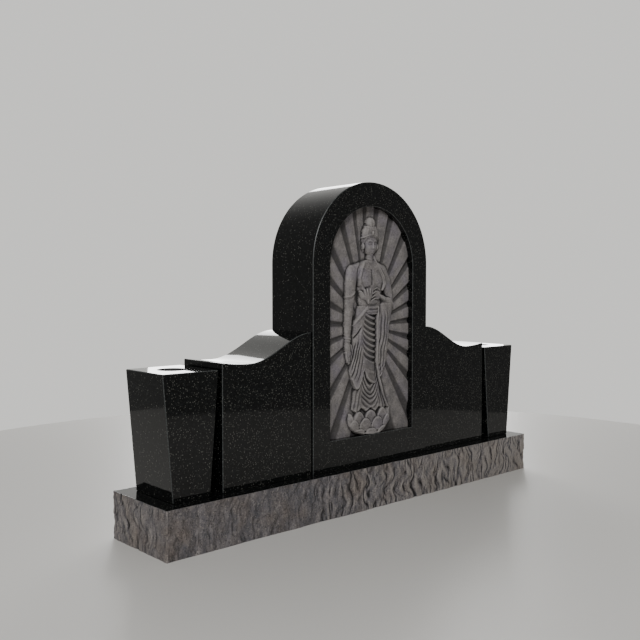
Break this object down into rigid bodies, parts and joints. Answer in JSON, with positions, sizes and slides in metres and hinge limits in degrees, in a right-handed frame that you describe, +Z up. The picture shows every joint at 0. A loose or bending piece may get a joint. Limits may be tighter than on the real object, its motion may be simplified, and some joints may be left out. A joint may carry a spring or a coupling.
{
  "type": "headstone",
  "caption": "Round-headed granite tablet with a carved figure in a rayed niche, swept wing stones and tapered vases on a rock-pitched base.",
  "frame": {"origin": "centre of the underside of the base", "axes": "+X along the base towards the viewer's right, +Y towards the back, +Z up"},
  "size_m": [1.8191, 0.3278, 1.177],
  "materials": {
    "polished_granite": "polished black granite with fine light specks",
    "carved_granite": "the same granite carved and left matt, pale grey",
    "pitched_granite": "the same granite rock-pitched, rough grey, under a polished deck"
  },
  "bodies": {
    "root": {"base": "pitched_granite", "tablet": "polished_granite", "left_wing": "polished_granite", "right_wing": "polished_granite", "left_vase": "polished_granite", "right_vase": "polished_granite"}
  },
  "joints": []
}
